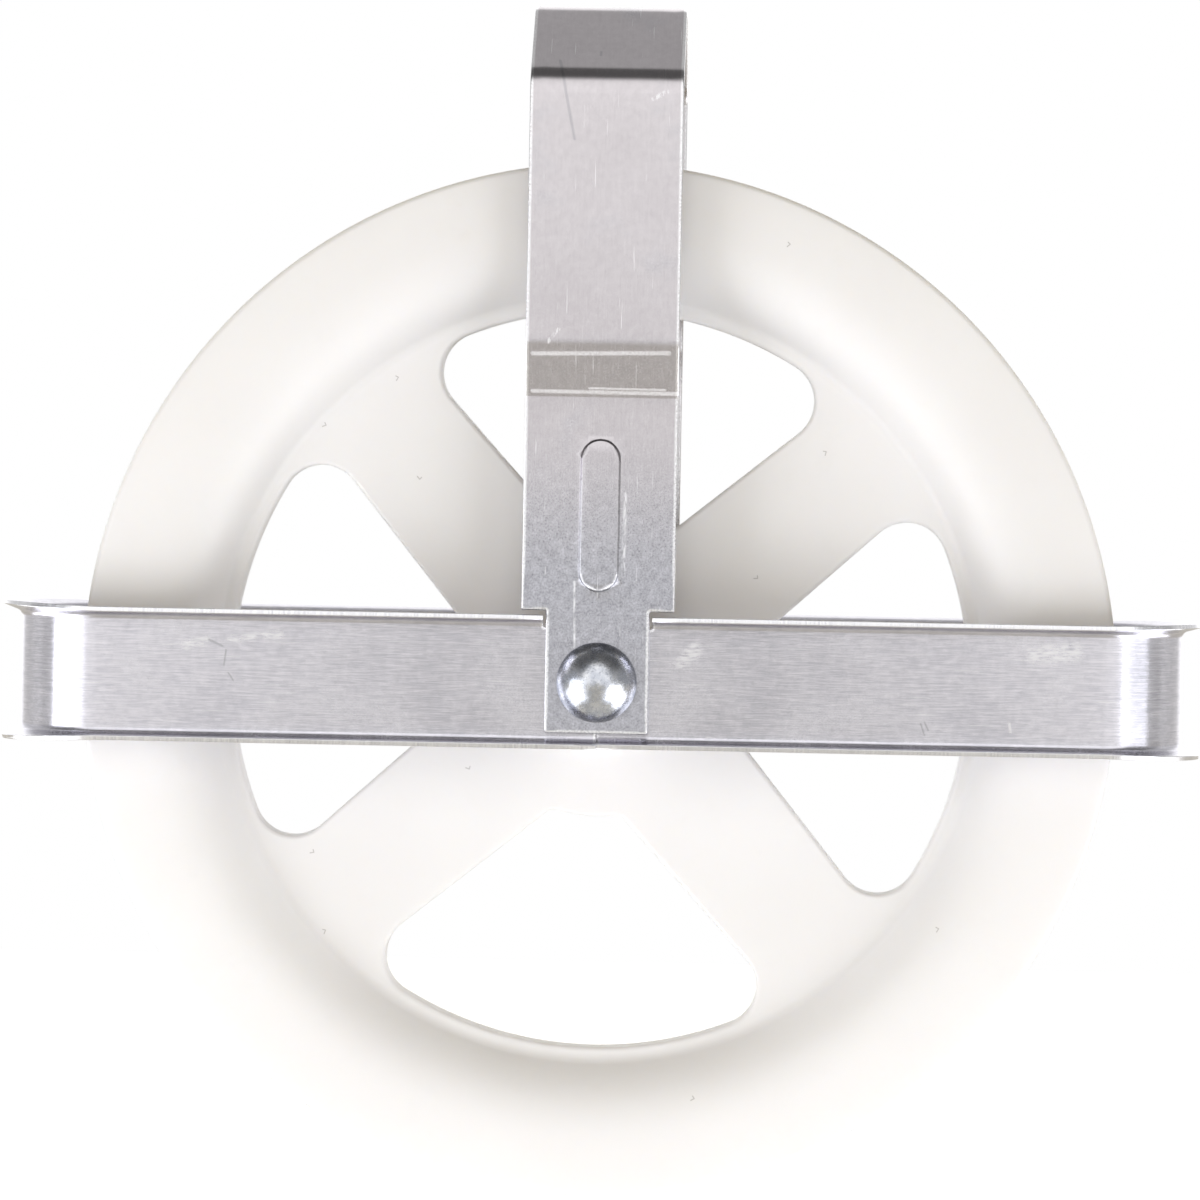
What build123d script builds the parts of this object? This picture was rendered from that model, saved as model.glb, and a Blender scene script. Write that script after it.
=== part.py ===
import os
from math import cos, radians, sin, tan

from build123d import *

os.makedirs("parts", exist_ok=True)

# Clothesline pulley with a moulded 6 1/2 inch wheel, hung from a hook.
# The origin is the wheel's centre on the axle. +Z runs up to the hanging eye,
# +X runs along the line guards, and the axle lies along Y with the front at -Y.

# Wheel
wheel_diameter = 165.0
rim_half_width = 10.0
rim_crown = 0.5
lip_half_width = 9.0
lip_outer_chamfer = 1.0
lip_inner_chamfer = 0.5
groove_depth = 11.0
groove_floor_bend = 4.0
groove_flank_angle = 20.0
rim_wall_under_groove = 6.1
rim_wall_slope_run = 4.2
rim_wall_root_round = 2.0
rim_wall_top_round = 12.0
web_thickness = 5.6
hub_wall = 6.1
hub_past_rim = 2.0
hub_root_chamfer = 1.5
hub_edge_chamfer = 0.6
wheel_turn = 4.6

# Windows between the spokes
spoke_count = 4
spoke_half_width = 11.1
spoke_flare = 1.65
window_inner_radius = 22.0
window_below_groove = 12.3
window_outer_corner = 6.5
window_inner_corner = 2.0
window_edge_chamfer = 0.7

# Axle
rivet_radius = 3.15
rivet_clearance = 0.12
rivet_head_radius = 6.35
rivet_head_height = 4.4
rivet_head_land = 0.4
clinch_radius = 5.2
clinch_height = 1.9
clinch_chamfer = 0.7
clinch_bore_radius = 2.1
clinch_bore_depth = 5.0
sleeve_wall = 1.5
sleeve_running_clearance = 0.1
sleeve_side_clearance = 0.2

# Line guards, folded from thin sheet
guard_sheet = 0.8
guard_line_gap = 10.1
right_guard_height = 22.0
right_guard_end_splay = 16.0
left_guard_narrower = 0.8
left_guard_end_splay = 22.0
guard_leg_splay = 5.0
guard_lip = 3.0
guard_fold_bend = 1.0
tongue_end_margin = 0.6
tongue_lip_clearance = 0.3
tongue_corner = 1.5

# Hanger, bent from strip
hanger_sheet = 1.2
hanger_width = 24.3
tab_width = 16.4
tab_notch_clearance = 0.45
tab_foot_clearance = 0.5
shoulder_clearance = 0.3
jog_start_height = 45.3
jog_length = 8.1
jog_offset = 1.5
jog_start_bend = 3.0
jog_end_bend = 10.0
gable_above_wheel = 13.0
gable_rise = 13.4
gable_foot_bend = 5.4
gable_peak_bend = 5.5
bead_length = 24.4
bead_width = 6.5
bead_height = 0.6
bead_wall = 0.7
bead_draft = 35.0
bead_centre_height = 26.4

# Radii and places that follow from the sizes above, from the middle of the wheel
wheel_radius = wheel_diameter / 2
groove_floor_radius = wheel_radius - groove_depth
rim_wall_top_radius = groove_floor_radius - rim_wall_under_groove
rim_wall_root_radius = rim_wall_top_radius - rim_wall_slope_run
window_outer_radius = groove_floor_radius - window_below_groove
web_half = web_thickness / 2
rivet_hole_radius = rivet_radius + rivet_clearance
sleeve_radius = rivet_hole_radius + sleeve_wall
wheel_bore_radius = sleeve_radius + sleeve_running_clearance
hub_radius = wheel_bore_radius + hub_wall
hub_half_length = rim_half_width + hub_past_rim
right_web_inner = hub_half_length + sleeve_side_clearance
left_web_inner = right_web_inner + guard_sheet
tab_inner = left_web_inner + guard_sheet
tab_outer = tab_inner + hanger_sheet
left_guard_height = right_guard_height - left_guard_narrower


# Wheel: half of the section goes from the groove's floor over the rim and the web to
# the bore. The other half mirrors it, and the whole section turns about the axle.
groove_turn = 90 - groove_flank_angle

with BuildPart() as wheel:
    with BuildSketch(Plane.XY) as wheel_section:
        with BuildLine():
            floor = JernArc((groove_floor_radius, 0), (0, 1), groove_floor_bend, -groove_turn)
            flank_run = (wheel_radius - (floor @ 1).X) / cos(radians(groove_flank_angle))
            flank = PolarLine(floor @ 1, flank_run, groove_flank_angle)
            lip = Line(flank @ 1, (wheel_radius, lip_half_width))
            crown_radius = (rim_wall_top_radius + wheel_radius) / 2
            crown_half_width = (rim_half_width + lip_half_width) / 2 + rim_crown
            rim_face = ThreePointArc(
                lip @ 1,
                (crown_radius, crown_half_width),
                (rim_wall_top_radius, rim_half_width),
            )
            Polyline(
                rim_face @ 1,
                (rim_wall_root_radius, web_half),
                (hub_radius, web_half),
                (hub_radius, hub_half_length),
                (wheel_bore_radius, hub_half_length),
                (wheel_bore_radius, 0),
                floor @ 0,
            )
        make_face()
        for corner, round_radius in (
            (rim_face @ 1, rim_wall_top_round),
            (Vector(rim_wall_root_radius, web_half), rim_wall_root_round),
        ):
            fillet(wheel_section.vertices().sort_by_distance(corner)[0], round_radius)
        for corner, chamfer_length in (
            (lip @ 0, lip_inner_chamfer),
            (lip @ 1, lip_outer_chamfer),
            (Vector(hub_radius, web_half), hub_root_chamfer),
            (Vector(hub_radius, hub_half_length), hub_edge_chamfer),
        ):
            chamfer(wheel_section.vertices().sort_by_distance(corner)[0], chamfer_length)
        mirror(about=Plane.XZ)
    revolve(axis=Axis.Y)

    # The windows are what four flared spokes leave of a ring
    with BuildSketch(Plane.XZ) as windows:
        Circle(window_outer_radius)
        Circle(window_inner_radius, mode=Mode.SUBTRACT)
        spoke_reach = groove_floor_radius
        spoke_tip_half = spoke_half_width + (spoke_reach - window_inner_radius) * tan(radians(spoke_flare))
        with PolarLocations(0, spoke_count, start_angle=180 / spoke_count - wheel_turn):
            Polygon(
                (0, -spoke_half_width),
                (window_inner_radius, -spoke_half_width),
                (spoke_reach, -spoke_tip_half),
                (spoke_reach, spoke_tip_half),
                (window_inner_radius, spoke_half_width),
                (0, spoke_half_width),
                align=None,
                mode=Mode.SUBTRACT,
            )
        fillet(windows.vertices().group_by(SortBy.DISTANCE)[-1], window_outer_corner)
        fillet(windows.vertices().group_by(SortBy.DISTANCE)[0], window_inner_corner)
    extrude(amount=web_thickness, both=True, mode=Mode.SUBTRACT)
    chamfer(wheel.edges(Select.NEW), window_edge_chamfer)
wheel.part.label = "wheel"
export_step(wheel.part, "parts/wheel.step")


# Axle sleeve: the spacer tube that the wheel turns on, held between the guards
with BuildPart() as axle_sleeve:
    with BuildSketch(Plane.XZ):
        Circle(sleeve_radius)
        Circle(rivet_hole_radius, mode=Mode.SUBTRACT)
    extrude(amount=right_web_inner, both=True)
axle_sleeve.part.label = "axle_sleeve"
export_step(axle_sleeve.part, "parts/axle_sleeve.step")


# Axle rivet: domed head in front, shank, and a hollow end rolled over at the back
with BuildPart() as axle_rivet:
    with BuildSketch(Plane.XY) as rivet_section:
        with BuildLine():
            dome_rise = rivet_head_height - rivet_head_land
            dome_radius = (rivet_head_radius**2 + dome_rise**2) / (2 * dome_rise)
            dome_turn = Vector(dome_radius - dome_rise, rivet_head_radius).get_angle(Vector(1, 0))
            dome = JernArc((0, -tab_outer - rivet_head_height), (1, 0), dome_radius, dome_turn)
            Polyline(
                dome @ 1,
                (rivet_head_radius, -tab_outer),
                (rivet_radius, -tab_outer),
                (rivet_radius, tab_outer),
                (clinch_radius, tab_outer),
                (clinch_radius, tab_outer + clinch_height),
                (clinch_bore_radius, tab_outer + clinch_height),
                (clinch_bore_radius, tab_outer + clinch_height - clinch_bore_depth),
                (0, tab_outer + clinch_height - clinch_bore_depth),
                dome @ 0,
            )
        make_face()
        chamfer(rivet_section.vertices().group_by(Axis.Y)[-1], clinch_chamfer)
    revolve(axis=Axis.Y)
axle_rivet.part.label = "axle_rivet"
export_step(axle_rivet.part, "parts/axle_rivet.step")


# Line guards: each is a channel folded outwards, bent round the wheel into a U, and
# riveted through both ends. Its lips splay where the bend stretches them.
fold_outer_bend = guard_fold_bend + guard_sheet
lip_run = guard_lip + guard_sheet


def fold_setback(splay):
    return fold_outer_bend * tan(radians((90 - splay) / 2))


def web_flat_half(height):
    return height / 2 - fold_setback(guard_leg_splay) - lip_run * sin(radians(guard_leg_splay))


def channel_section(plane, flat_half, splay):
    corner = flat_half + fold_setback(splay)
    tip = Vector(lip_run, 0).rotate(Axis.Z, splay) + Vector(0, corner)
    with BuildSketch(plane) as section:
        with BuildLine():
            FilletPolyline(tip, (0, corner), (0, -corner), (tip.X, -tip.Y), radius=fold_outer_bend)
            offset(amount=guard_sheet, side=Side.LEFT)
        make_face()
    return section.sketch


narrow_flat_half = min(web_flat_half(right_guard_height), web_flat_half(left_guard_height))
tongue_half = narrow_flat_half - tongue_lip_clearance
tongue_length = tab_width / 2 - tongue_end_margin
notch_half = tab_width / 2 + tab_notch_clearance


def line_guard(web_inner, height, end_splay):
    flat_half = web_flat_half(height)
    bend_centre = wheel_radius + guard_line_gap - web_inner
    with BuildPart() as guard:
        with BuildLine() as bend:
            CenterArc((bend_centre, 0), web_inner, -90, 180)
        sections = []
        for turn in range(0, 181, 45):
            radial = Vector(0, -1).rotate(Axis.Z, turn)
            plane = Plane(bend.line @ (turn / 180), x_dir=radial, z_dir=radial.cross(Vector(0, 0, 1)))
            splay = guard_leg_splay + (end_splay - guard_leg_splay) * sin(radians(turn))
            sections.append(channel_section(plane, flat_half, splay))
        sweep(sections=sections, path=bend.line, multisection=True)
        extrude(sections[0], amount=bend_centre + tongue_length, dir=(-1, 0, 0))
        extrude(sections[-1], amount=bend_centre + tongue_length, dir=(-1, 0, 0))
        # Past the axle only a flat tongue is left, and the upper lips clear the hanger's tab
        with BuildSketch(Plane.XZ):
            with Locations((0, tongue_half)):
                Rectangle(tongue_length, height, align=(Align.MAX, Align.MIN))
            with Locations((0, -tongue_half)):
                Rectangle(tongue_length, height, align=(Align.MAX, Align.MAX))
            with Locations((0, flat_half)):
                Rectangle(notch_half, height, align=(Align.MIN, Align.MIN))
            Circle(rivet_hole_radius)
        extrude(amount=2 * web_inner, both=True, mode=Mode.SUBTRACT)
        tongue_tips = guard.edges().filter_by(Axis.Y).group_by(Axis.X)[0]
        fillet(tongue_tips, tongue_corner)
    return guard.part


right_guard = line_guard(right_web_inner, right_guard_height, right_guard_end_splay)
right_guard.label = "right_guard"
export_step(right_guard, "parts/right_guard.step")

left_guard = line_guard(left_web_inner, left_guard_height, left_guard_end_splay).mirror(Plane.YZ)
left_guard.label = "left_guard"
export_step(left_guard, "parts/left_guard.step")


# Hanger: one strip up the front, over the gable that takes the hook, and down the back
shoulder_height = max(left_guard_height, right_guard_height) / 2 + shoulder_clearance
tab_foot_depth = narrow_flat_half - tab_foot_clearance
gable_foot_height = wheel_radius + gable_above_wheel
tab_mid = tab_inner + hanger_sheet / 2
leg_mid = tab_mid + jog_offset
front_leg = [
    (-tab_mid, -tab_foot_depth),
    (-tab_mid, jog_start_height),
    (-leg_mid, jog_start_height + jog_length),
    (-leg_mid, gable_foot_height),
]
leg_bends = [jog_start_bend, jog_end_bend, gable_foot_bend]

with BuildPart() as hanger:
    with BuildSketch(Plane.YZ):
        with BuildLine():
            FilletPolyline(
                *front_leg,
                (0, gable_foot_height + gable_rise),
                *[(-across, height) for across, height in reversed(front_leg)],
                radius=[*leg_bends, gable_peak_bend, *reversed(leg_bends)],
            )
        trace(line_width=hanger_sheet)
    extrude(amount=hanger_width / 2, both=True)
    # Below the shoulders the strip narrows to a tab between the guards' lips
    with BuildSketch(Plane.XZ):
        shoulder_drop = shoulder_height + tab_foot_depth
        with Locations((tab_width / 2, shoulder_height)):
            Rectangle(hanger_width, shoulder_drop, align=(Align.MIN, Align.MAX))
        with Locations((-tab_width / 2, shoulder_height)):
            Rectangle(hanger_width, shoulder_drop, align=(Align.MAX, Align.MAX))
        Circle(rivet_hole_radius)
    extrude(amount=tab_outer, both=True, mode=Mode.SUBTRACT)
    # Each leg has a pressed bead, raised outside and hollow inside
    for facing in (-1, 1):
        leg_face = Plane((0, facing * tab_outer, bead_centre_height), x_dir=(1, 0, 0), z_dir=(0, facing, 0))
        with BuildSketch(leg_face):
            SlotOverall(bead_length, bead_width, rotation=90)
        extrude(amount=bead_height, taper=bead_draft)
        with BuildSketch(leg_face.offset(-hanger_sheet)):
            SlotOverall(bead_length - 2 * bead_wall, bead_width - 2 * bead_wall, rotation=90)
        extrude(amount=bead_height, mode=Mode.SUBTRACT)
hanger.part.label = "hanger"
export_step(hanger.part, "parts/hanger.step")
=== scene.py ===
from math import asin, atan2, cos, degrees, pi, radians, sin, sqrt, tan

import bpy
from mathutils import Matrix, Vector
from mathutils.geometry import delaunay_2d_cdt


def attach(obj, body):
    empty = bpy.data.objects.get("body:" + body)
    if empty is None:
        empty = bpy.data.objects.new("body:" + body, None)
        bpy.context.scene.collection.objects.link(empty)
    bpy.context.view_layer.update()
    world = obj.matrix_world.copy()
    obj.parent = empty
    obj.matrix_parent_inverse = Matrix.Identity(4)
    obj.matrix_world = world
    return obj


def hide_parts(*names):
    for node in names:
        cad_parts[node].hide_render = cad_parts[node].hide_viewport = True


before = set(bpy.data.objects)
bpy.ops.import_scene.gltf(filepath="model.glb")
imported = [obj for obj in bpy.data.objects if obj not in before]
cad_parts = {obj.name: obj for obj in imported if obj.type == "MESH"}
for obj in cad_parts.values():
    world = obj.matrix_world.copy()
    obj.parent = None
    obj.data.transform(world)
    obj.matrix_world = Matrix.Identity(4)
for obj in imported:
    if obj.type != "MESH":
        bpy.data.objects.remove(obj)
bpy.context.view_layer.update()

# Clothesline pulley. Shapes are worked out in millimetres and stored in metres, in the
# CAD's frame: X along the guards, Y along the axle with the front at -Y, Z up.
MM = 0.001

# Sizes of the CAD source that the pieces here repeat
WHEEL_RADIUS = 82.5
RIM_HALF_WIDTH = 10.0
LIP_HALF_WIDTH = 9.0
CROWN_RISE = 0.5
LIP_ROUND = 1.05
GROOVE_FLOOR_RADIUS = 71.5
GROOVE_FLOOR_BEND = 4.0
GROOVE_FLANK_ANGLE = 20.0
RIM_WALL_TOP_RADIUS = 65.4
RIM_WALL_TOP_ROUND = 12.0
RIM_WALL_ROOT_RADIUS = 61.2
RIM_WALL_ROOT_ROUND = 2.0
WEB_HALF = 2.8
HUB_RADIUS = 10.97
HUB_HALF_LENGTH = 12.0
WHEEL_BORE_RADIUS = 4.87
WHEEL_TURN = 4.6
SPOKE_HALF_WIDTH = 11.1
SPOKE_FLARE = 1.65
WINDOW_INNER_RADIUS = 22.0
WINDOW_OUTER_RADIUS = 59.2
WINDOW_OUTER_CORNER = 6.5
WINDOW_INNER_CORNER = 2.0
RIVET_RADIUS = 3.15
RIVET_HOLE_RADIUS = 3.27
RIVET_HEAD_RADIUS = 6.35
RIVET_HEAD_HEIGHT = 4.4
RIVET_HEAD_LAND = 0.4
CLINCH_RADIUS = 5.2
CLINCH_HEIGHT = 1.9
CLINCH_BORE_RADIUS = 2.1
CLINCH_BORE_DEPTH = 5.0
GUARD_SHEET = 0.8
GUARD_REACH = 92.6
RIGHT_WEB_INNER = 12.2
LEFT_WEB_INNER = 13.0
LEFT_GUARD_HEIGHT = 21.2
RIGHT_END_SPLAY = 16.0
LEFT_END_SPLAY = 22.0
GUARD_LIP = 3.0
GUARD_FOLD_BEND = 1.0
GUARD_LEG_SPLAY = 5.0
TONGUE_LENGTH = 7.6
TONGUE_HALF = 8.32
TONGUE_CORNER = 1.5
NOTCH_HALF = 8.65
HANGER_SHEET = 1.2
HANGER_HALF_WIDTH = 12.15
TAB_HALF_WIDTH = 8.2
TAB_OUTER = 15.0
TAB_FOOT = -8.12
SHOULDER_HEIGHT = 11.3
JOG_START_HEIGHT = 45.3
JOG_END_HEIGHT = 53.4
JOG_OFFSET = 1.5
GABLE_FOOT_HEIGHT = 95.5
GABLE_PEAK_HEIGHT = 108.9
LEG_BENDS = (3.0, 10.0, 5.4)
GABLE_PEAK_BEND = 5.5
BEAD_LENGTH = 24.4
BEAD_WIDTH = 6.5
BEAD_HEIGHT = 0.6
BEAD_RAMP = 0.42
BEAD_CENTRE_HEIGHT = 26.4
HANGER_PEAK_RUN = 122.0

# The right guard as the photograph shows it, a little lower than in the CAD
RIGHT_GUARD_HEIGHT = 21.0

# Rounds that the CAD makes as chamfers or leaves sharp
GROOVE_LIP_ROUND = 0.5
WINDOW_EDGE_ROUND = 0.7
HUB_ROOT_ROUND = 2.0
HUB_EDGE_ROUND = 0.7
HUB_BORE_ROUND = 0.4
GUARD_EDGE_ROUND = 0.14
HANGER_EDGE_ROUND = 0.2

# How finely the pieces are made
TURNS = 288
ARC_STEP = 9.0


def link(name, mesh, material, body, node):
    mesh.materials.append(material)
    mesh.polygons.foreach_set("use_smooth", [True] * len(mesh.polygons))
    piece = bpy.data.objects.new(name, mesh)
    bpy.context.scene.collection.objects.link(piece)
    normals = piece.modifiers.new("Normals", "WEIGHTED_NORMAL")
    normals.mode = "FACE_AREA"
    normals.weight = 50
    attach(piece, body)
    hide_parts(node)
    return piece


def new_mesh(name, points, faces):
    mesh = bpy.data.meshes.new(name)
    mesh.from_pydata([tuple(c * MM for c in p) for p in points], [], faces)
    mesh.update()
    return mesh


def rounded(corners):
    """A flat line through (x, y, radius) corners, as points, each corner with a radius rounded."""
    points = []
    for i, (x, y, radius) in enumerate(corners):
        here = Vector((x, y))
        if radius == 0 or i in (0, len(corners) - 1):
            points.append(here)
            continue
        back = (Vector(corners[i - 1][:2]) - here).normalized()
        ahead = (Vector(corners[i + 1][:2]) - here).normalized()
        between = back.angle(ahead)
        centre = here + (back + ahead).normalized() * (radius / sin(between / 2))
        start = here + back * (radius / tan(between / 2)) - centre
        turn = pi - between
        if back.x * ahead.y - back.y * ahead.x > 0:
            turn = -turn
        steps = max(2, round(degrees(abs(turn)) / ARC_STEP))
        for k in range(steps + 1):
            points.append(centre + Matrix.Rotation(turn * k / steps, 2) @ start)
    return points


# Wheel
def ring(points, radius, across):
    """Adds a circle about the axle to points and returns its indices."""
    first = len(points)
    for k in range(TURNS):
        a = 2 * pi * k / TURNS
        points.append((radius * cos(a), across, radius * sin(a)))
    return list(range(first, first + TURNS))


def bridge(faces, loop_a, loop_b):
    count = len(loop_a)
    for k in range(count):
        j = (k + 1) % count
        faces.append((loop_a[k], loop_a[j], loop_b[j], loop_b[k]))


def lathe(points, faces, profile):
    """Turns (radius, across) points about the axle. Returns the first and last rings."""
    rings = [ring(points, radius, across) for radius, across in profile]
    for a, b in zip(rings, rings[1:]):
        bridge(faces, b, a)
    return rings[0], rings[-1]


def window_outline(grow):
    """One window between two spokes, centred on +X, widened all round by grow."""
    outer, inner = WINDOW_OUTER_RADIUS + grow, WINDOW_INNER_RADIUS - grow
    outer_corner, inner_corner = WINDOW_OUTER_CORNER + grow, WINDOW_INNER_CORNER + grow
    flare = radians(45 + SPOKE_FLARE)
    along = Vector((cos(flare), sin(flare)))
    into = Vector((sin(flare), -cos(flare)))
    spoke = Vector((cos(pi / 4), sin(pi / 4)))
    foot = spoke * WINDOW_INNER_RADIUS + Vector((spoke.y, -spoke.x)) * SPOKE_HALF_WIDTH - into * grow

    def corner(radius, reach):
        base = foot + into * radius
        half = base.dot(along)
        centre = base + along * (-half + sqrt(half * half - base.length_squared + reach * reach))
        return centre, centre - into * radius

    outer_centre, outer_touch = corner(outer_corner, outer - outer_corner)
    inner_centre, inner_touch = corner(inner_corner, inner + inner_corner)
    half = []
    rim_angle = atan2(outer_centre.y, outer_centre.x)
    for k in range(17):
        a = rim_angle * k / 16
        half.append(Vector((cos(a), sin(a))) * outer)
    turn_end = atan2(*reversed(outer_touch - outer_centre))
    for k in range(1, 17):
        a = rim_angle + (turn_end - rim_angle) * k / 16
        half.append(outer_centre + Vector((cos(a), sin(a))) * outer_corner)
    for k in range(1, 12):
        half.append(outer_touch.lerp(inner_touch, k / 12))
    hub_angle = atan2(inner_centre.y, inner_centre.x)
    turn_start = atan2(*reversed(inner_touch - inner_centre))
    turn_stop = hub_angle + pi
    for k in range(9):
        a = turn_start + (turn_stop - turn_start) * k / 8
        half.append(inner_centre + Vector((cos(a), sin(a))) * inner_corner)
    for k in range(1, 5):
        a = hub_angle * (1 - k / 4)
        half.append(Vector((cos(a), sin(a))) * inner)
    below = [Vector((p.x, -p.y)) for p in half[1:-1]]
    return half + below[::-1]


def circle_through(a, b, c):
    """Centre of the circle through three flat points."""
    to_b, to_c = b - a, c - a
    rows = Matrix(((to_b.x, to_b.y), (to_c.x, to_c.y)))
    return a + rows.inverted() @ Vector((to_b.length_squared / 2, to_c.length_squared / 2))


def arc(centre, start, end, steps):
    """Points from start to end, the shorter way round the centre."""
    first, last = start - centre, end - centre
    turn = atan2(first.x * last.y - first.y * last.x, first.dot(last))
    return [centre + Matrix.Rotation(turn * k / steps, 2) @ first for k in range(steps + 1)]


def blend_inside(centre, radius, point, heading, inward, round_radius):
    """An arc that touches the inside of a circle and a line. Returns its centre, the touching
    point on the circle and the one on the line."""
    start = point + inward * round_radius - centre
    half = start.dot(heading)
    reach = radius - round_radius
    middle = centre + start + heading * (-half + sqrt(half * half - start.length_squared + reach * reach))
    return middle, centre + (middle - centre).normalized() * radius, middle - inward * round_radius


def make_wheel(material):
    points, faces = [], []
    lean = radians(GROOVE_FLANK_ANGLE)
    flank_start = Vector(
        (
            GROOVE_FLOOR_RADIUS + GROOVE_FLOOR_BEND * (1 - sin(lean)),
            GROOVE_FLOOR_BEND * cos(lean),
        )
    )
    lip_inner = flank_start.y + (WHEEL_RADIUS - flank_start.x) * tan(lean)
    groove_floor = []
    for k in range(9):
        a = (pi / 2 - lean) * k / 8
        groove_floor.append(
            Vector(
                (
                    GROOVE_FLOOR_RADIUS + GROOVE_FLOOR_BEND * (1 - cos(a)),
                    GROOVE_FLOOR_BEND * sin(a),
                )
            )
        )
    lip_outer = Vector((WHEEL_RADIUS, LIP_HALF_WIDTH))
    wall_top = Vector((RIM_WALL_TOP_RADIUS, RIM_HALF_WIDTH))
    wall_root = Vector((RIM_WALL_ROOT_RADIUS, WEB_HALF))
    crown_top = (lip_outer + wall_top) / 2 + Vector((0, CROWN_RISE))
    crown = circle_through(lip_outer, crown_top, wall_top)
    crown_radius = (lip_outer - crown).length
    lip_middle, lip_on_crown, lip_on_edge = blend_inside(
        crown, crown_radius, lip_outer, Vector((0, 1)), Vector((-1, 0)), LIP_ROUND
    )
    slope = (wall_top - wall_root).normalized()
    top_middle, top_on_crown, top_on_wall = blend_inside(
        crown, crown_radius, wall_top, slope, Vector((slope.y, -slope.x)), RIM_WALL_TOP_ROUND
    )
    lip_inner_edge = rounded(
        [(*flank_start, 0), (WHEEL_RADIUS, lip_inner, GROOVE_LIP_ROUND), (*lip_on_edge, 0)]
    )
    root = rounded(
        [
            (*top_on_wall, 0),
            (wall_root.x, wall_root.y, RIM_WALL_ROOT_ROUND),
            (WINDOW_OUTER_RADIUS + 0.8, WEB_HALF, 0),
        ]
    )
    rim = lip_inner_edge[:-1] + arc(lip_middle, lip_on_edge, lip_on_crown, 8)
    rim += arc(crown, lip_on_crown, top_on_crown, 10)[1:]
    rim += arc(top_middle, top_on_crown, top_on_wall, 14)[1:]
    rim += root[1:]
    rim_half = groove_floor + rim[1:]
    rim_profile = [(p.x, -p.y) for p in rim_half[::-1]] + [(p.x, p.y) for p in rim_half[1:]]
    front_rim, back_rim = lathe(points, faces, rim_profile)
    hub_half = rounded(
        [
            (WHEEL_BORE_RADIUS, 0, 0),
            (WHEEL_BORE_RADIUS, HUB_HALF_LENGTH, HUB_BORE_ROUND),
            (HUB_RADIUS, HUB_HALF_LENGTH, HUB_EDGE_ROUND),
            (HUB_RADIUS, WEB_HALF, HUB_ROOT_ROUND),
            (HUB_RADIUS + 1.5 * HUB_ROOT_ROUND, WEB_HALF, 0),
        ]
    )
    hub_profile = [(p.x, p.y) for p in hub_half[::-1]] + [(p.x, -p.y) for p in hub_half[1:]]
    back_hub, front_hub = lathe(points, faces, hub_profile)

    loops = []
    for k in range(4):
        turn = Matrix.Rotation(radians(90 * k - WHEEL_TURN), 2)
        rows = []
        quarter = [radians(15 * s) for s in range(7)]
        for a in quarter:
            across = WEB_HALF - WINDOW_EDGE_ROUND * (1 - cos(a))
            rows.append((WINDOW_EDGE_ROUND * (1 - sin(a)), -across))
        rows += [(grow, -across) for grow, across in rows[::-1]]
        indices = []
        for grow, across in rows:
            first = len(points)
            outline = [turn @ p for p in window_outline(grow)]
            points += [(p.x, across, p.y) for p in outline]
            indices.append(list(range(first, first + len(outline))))
        for a, b in zip(indices, indices[1:]):
            bridge(faces, a, b)
        loops.append((indices[0], indices[-1]))
    web_face(points, faces, front_rim, front_hub, [a for a, b in loops], False)
    web_face(points, faces, back_rim, back_hub, [b for a, b in loops], True)
    mesh = new_mesh("wheel_moulding", points, faces)
    return link("wheel_moulding", mesh, material, "wheel", "wheel")


def inside(p, polygon):
    hit = False
    for a, b in zip(polygon, polygon[1:] + polygon[:1]):
        if (a[1] > p[1]) != (b[1] > p[1]) and p[0] < (b[0] - a[0]) * (p[1] - a[1]) / (b[1] - a[1]) + a[0]:
            hit = not hit
    return hit


def triangulate(loops, lines, dots):
    """Fills the space that the loops bound, the first of them outermost. Returns the flat
    points, the triangles, and each loop's indices. Lines are loops that edges follow."""
    flat, edges, starts = [], [], []
    for loop in loops + lines:
        first = len(flat)
        starts.append(first)
        flat += loop
        edges += [(first + k, first + (k + 1) % len(loop)) for k in range(len(loop))]
    flat += dots
    boundary = sum(len(loop) for loop in loops)
    made, made_edges, triangles, origins, edge_origins, _ = delaunay_2d_cdt(flat, edges, [], 1, 1e-5, True)
    index_of = {i: k for k, ids in enumerate(origins) for i in ids}
    rings = [[index_of[first + k] for k in range(len(loop))] for first, loop in zip(starts, loops)]
    walls = {
        frozenset(pair) for pair, ids in zip(made_edges, edge_origins) if any(i < boundary for i in ids)
    }
    beside = {}
    for number, tri in enumerate(triangles):
        for pair in zip(tri, tri[1:] + tri[:1]):
            beside.setdefault(frozenset(pair), []).append(number)

    def size(tri):
        a, b, c = (made[i] for i in tri)
        return (b - a).cross(c - a)

    seeds = [n for n, tri in enumerate(triangles) if size(tri) > 0.02]
    for seed in seeds:
        centre = sum((made[i] for i in triangles[seed]), Vector((0, 0))) / 3
        if inside(centre, loops[0]) and not any(inside(centre, loop) for loop in loops[1:]):
            break
    kept, waiting = {seed}, [seed]
    while waiting:
        tri = triangles[waiting.pop()]
        for pair in zip(tri, tri[1:] + tri[:1]):
            if frozenset(pair) not in walls:
                for number in beside[frozenset(pair)]:
                    if number not in kept:
                        kept.add(number)
                        waiting.append(number)
    used = sorted({i for n in kept for i in triangles[n]} | {i for ring in rings for i in ring})
    renumbered = {i: k for k, i in enumerate(used)}
    return (
        [made[i] for i in used],
        [tuple(renumbered[i] for i in triangles[n]) for n in sorted(kept)],
        [[renumbered[i] for i in ring] for ring in rings],
    )


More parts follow.
